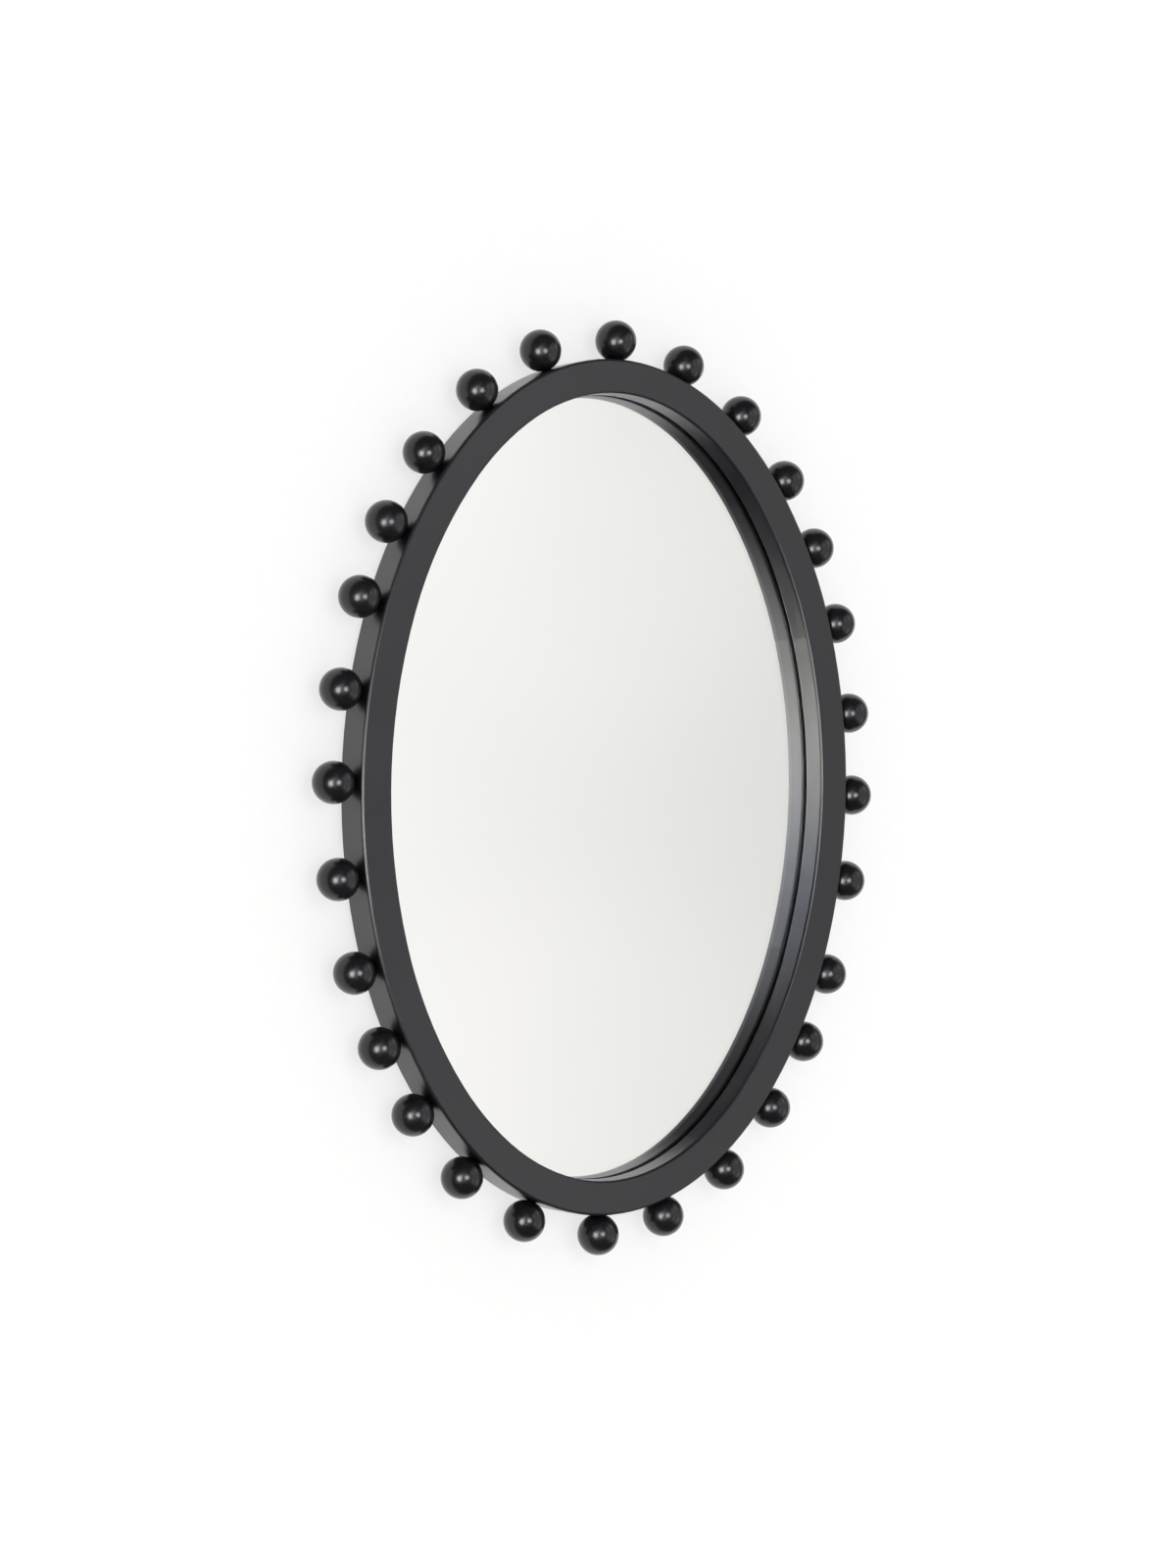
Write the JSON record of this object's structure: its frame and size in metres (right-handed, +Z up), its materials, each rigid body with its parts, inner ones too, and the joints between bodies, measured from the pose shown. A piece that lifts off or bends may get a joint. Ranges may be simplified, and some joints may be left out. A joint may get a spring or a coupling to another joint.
{
  "type": "oval wall mirror",
  "caption": "Oval wall mirror in a black lacquered wooden frame with a border of turned balls, backed glass, strap hangers with hinged D-rings, and wall bumpers.",
  "frame": {"origin": "the oval's centre on the wall plane, where the bumpers touch the wall", "axes": "+Z up, -Y out of the mirror's face towards the viewer, +Y into the wall, +X to the viewer's right when facing the mirror"},
  "size_m": [0.6492, 0.0455, 0.9012],
  "materials": {
    "lacquered_board": "black lacquer, satin",
    "lacquered_ball": "black lacquer, satin",
    "mirror_glass": "back-silvered float glass",
    "backing_board": "raw hardboard",
    "beech_dowel": "raw",
    "zinc_plated_steel": "bright zinc plated",
    "bumper_rubber": "matt moulded"
  },
  "bodies": {
    "frame": {"face_ring": "lacquered_board", "back_ring": "lacquered_board", "mirror_glass": "mirror_glass", "backing_board": "backing_board", "ball_dowels": "beech_dowel", "glazing_points": "zinc_plated_steel", "hanger_screws": "zinc_plated_steel", "hanger_strap_right": "zinc_plated_steel", "hanger_strap_left": "zinc_plated_steel", "bumper_upper_right": "bumper_rubber", "bumper_upper_left": "bumper_rubber", "bumper_lower_left": "bumper_rubber", "bumper_lower_right": "bumper_rubber", "ball_01": "lacquered_ball", "ball_02": "lacquered_ball", "ball_03": "lacquered_ball", "ball_04": "lacquered_ball", "ball_05": "lacquered_ball", "ball_06": "lacquered_ball", "ball_07": "lacquered_ball", "ball_08": "lacquered_ball", "ball_09": "lacquered_ball", "ball_10": "lacquered_ball", "ball_11": "lacquered_ball", "ball_12": "lacquered_ball", "ball_13": "lacquered_ball", "ball_14": "lacquered_ball", "ball_15": "lacquered_ball", "ball_16": "lacquered_ball", "ball_17": "lacquered_ball", "ball_18": "lacquered_ball", "ball_19": "lacquered_ball", "ball_20": "lacquered_ball", "ball_21": "lacquered_ball", "ball_22": "lacquered_ball", "ball_23": "lacquered_ball", "ball_24": "lacquered_ball", "ball_25": "lacquered_ball", "ball_26": "lacquered_ball", "ball_27": "lacquered_ball", "ball_28": "lacquered_ball"},
    "ring_right": {"hanger_ring_right": "zinc_plated_steel"},
    "ring_left": {"hanger_ring_left": "zinc_plated_steel"}
  },
  "joints": [
    {"name": "ring_right_hinge", "type": "hinge", "parent": "frame", "child": "ring_right", "pos_m": [0.25129, -0.00355, 0.15801], "axis": [-0.9613, 0, -0.2756], "range_deg": [0, 175]},
    {"name": "ring_left_hinge", "type": "hinge", "parent": "frame", "child": "ring_left", "pos_m": [-0.25129, -0.00355, 0.15801], "axis": [-0.9613, 0, 0.2756], "range_deg": [0, 175]}
  ]
}
